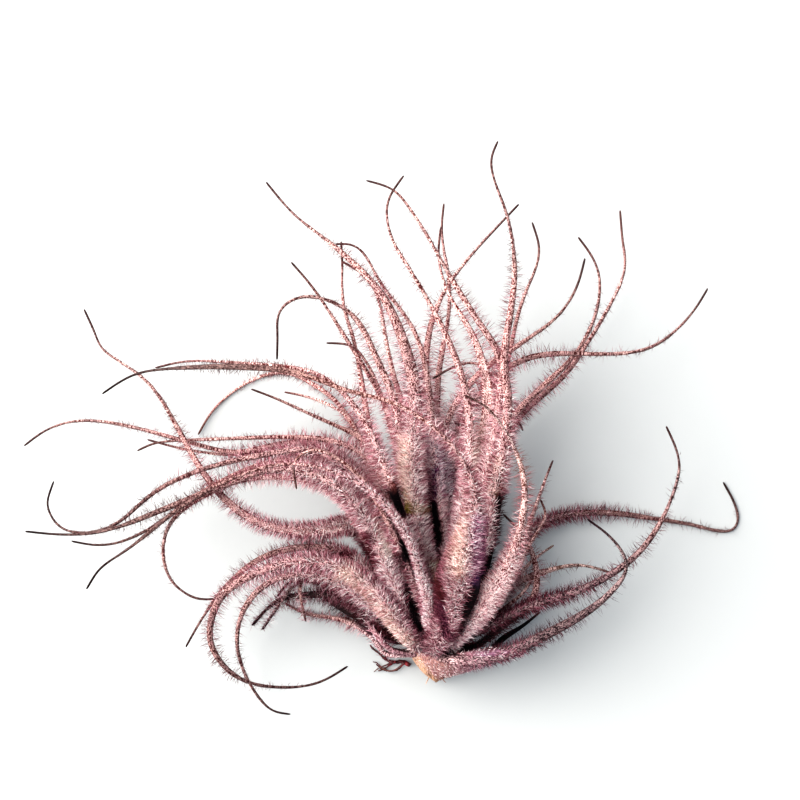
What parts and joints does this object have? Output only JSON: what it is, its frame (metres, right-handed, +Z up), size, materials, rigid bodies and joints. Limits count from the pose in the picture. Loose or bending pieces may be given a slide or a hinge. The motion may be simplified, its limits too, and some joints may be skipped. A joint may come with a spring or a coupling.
{
  "type": "air plant",
  "caption": "Hairy air plant lying on its side: a short stem with dry roots and narrow leaves that fan out and curl at their tips.",
  "frame": {"origin": "middle of the flat spot under the stem foot, on the surface that the plant lies on", "axes": "+Z up from the surface, +Y along the plant from its foot to its top as seen from above, +X to the right, across the fan of leaves"},
  "size_m": [0.1218, 0.0942, 0.046],
  "materials": {
    "leaf": "hairy",
    "stem": "rough",
    "root": "rough",
    "hair": "soft"
  },
  "bodies": {
    "root": {"stem": "stem", "roots": "root", "leaf_01": "leaf", "leaf_02": "leaf", "leaf_03": "leaf", "leaf_04": "leaf", "leaf_05": "leaf", "leaf_06": "leaf", "leaf_07": "leaf", "leaf_08": "leaf", "leaf_09": "leaf", "leaf_10": "leaf", "leaf_11": "leaf", "leaf_12": "leaf", "leaf_13": "leaf", "leaf_14": "leaf", "leaf_15": "leaf", "leaf_16": "leaf", "leaf_17": "leaf", "leaf_18": "leaf", "leaf_19": "leaf", "leaf_20": "leaf", "leaf_21": "leaf", "leaf_22": "leaf", "leaf_23": "leaf", "leaf_24": "leaf", "leaf_25": "leaf", "leaf_26": "leaf", "leaf_27": "leaf", "leaf_28": "leaf", "leaf_29": "leaf", "leaf_30": "leaf", "leaf_31": "leaf", "leaf_32": "leaf", "leaf_33": "leaf", "leaf_34": "leaf", "leaf_35": "leaf", "leaf_36": "leaf", "leaf_37": "leaf", "leaf_38": "leaf", "leaf_39": "leaf", "leaf_40": "leaf", "leaf_41": "leaf", "leaf_42": "leaf", "leaf_43": "leaf", "leaf_44": "leaf", "leaf_45": "leaf", "leaf_46": "leaf", "leaf_47": "leaf", "leaf_48": "leaf", "leaf_49": "leaf", "leaf_50": "leaf", "leaf_51": "leaf", "leaf_52": "leaf", "leaf_53": "leaf", "leaf_54": "leaf", "leaf_55": "leaf", "leaf_56": "leaf"}
  },
  "joints": []
}
